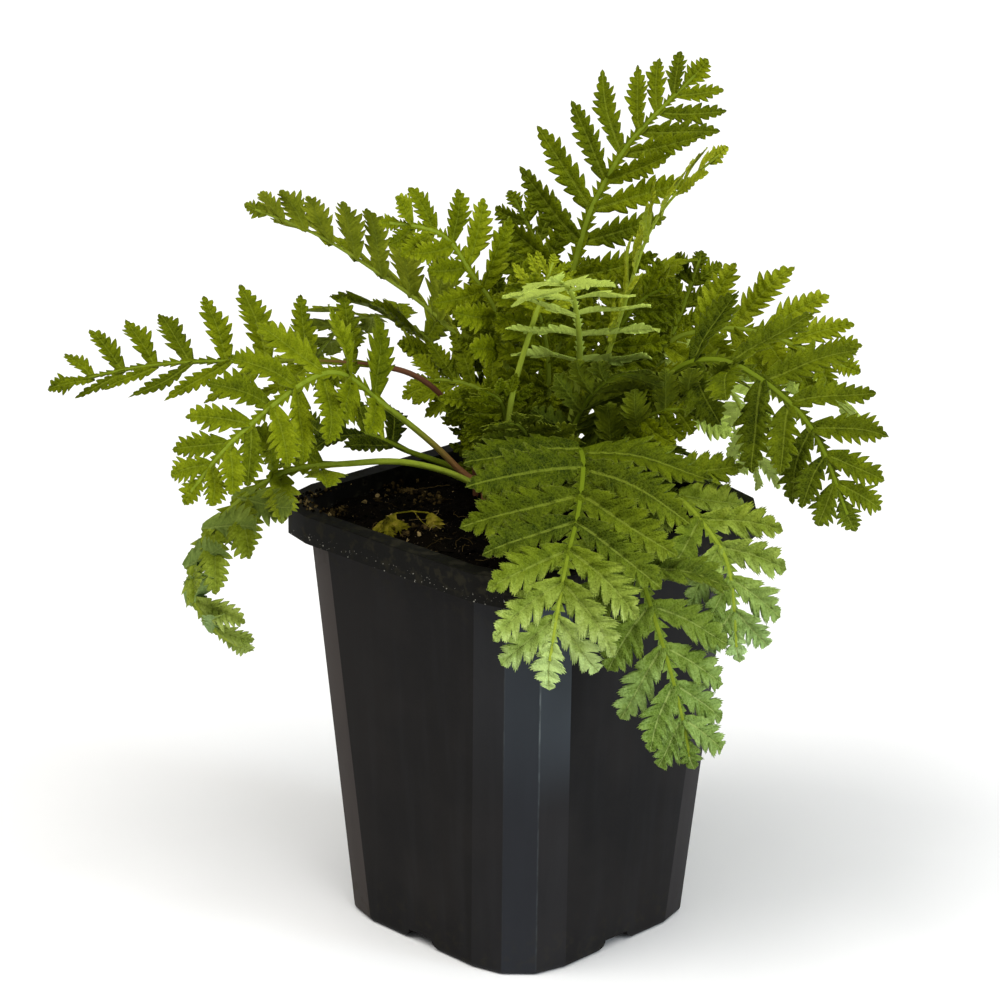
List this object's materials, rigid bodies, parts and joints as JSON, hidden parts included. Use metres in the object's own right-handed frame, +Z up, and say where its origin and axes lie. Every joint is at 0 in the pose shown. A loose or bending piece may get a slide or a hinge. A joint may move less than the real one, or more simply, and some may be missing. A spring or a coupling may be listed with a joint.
{
  "type": "potted tansy",
  "caption": "Young tansy plant with feathery toothed leaves on arching stalks, growing in potting soil in a square black nursery pot.",
  "frame": {"origin": "middle of the pot's foot, on the surface that it stands on", "axes": "+Z up; -Y towards the pot's near corner and the leaf that arches over it; +X to the right seen from there"},
  "size_m": [0.2877, 0.221, 0.2962],
  "materials": {
    "pot": "matte black, a little dusty",
    "soil": "moist dark crumbs and bark",
    "leaf": "soft satin olive green with paler veins",
    "pale_leaf": "soft satin light green",
    "withered": "dull yellow brown"
  },
  "bodies": {
    "root": {"pot": "pot", "soil": "soil", "frond_front": "leaf", "frond_front_right": "leaf", "frond_right_fall": "leaf", "frond_left_low": "leaf", "frond_right_low": "leaf", "frond_top": "leaf", "frond_left_far": "leaf", "frond_left_high": "leaf", "frond_top_right": "leaf", "frond_young_pale": "pale_leaf", "frond_right_high": "leaf", "frond_left_arch": "leaf", "frond_left_curl": "leaf", "frond_inner_left": "leaf", "frond_back_up": "leaf", "frond_right_up": "leaf", "frond_right_edge": "leaf", "frond_left_dark": "leaf", "frond_back_pale": "pale_leaf", "frond_right_pale": "pale_leaf", "frond_back_left": "leaf", "frond_back_mid": "leaf", "frond_back_right": "leaf", "young_tuft": "leaf", "fallen_leaflet": "withered"}
  },
  "joints": []
}
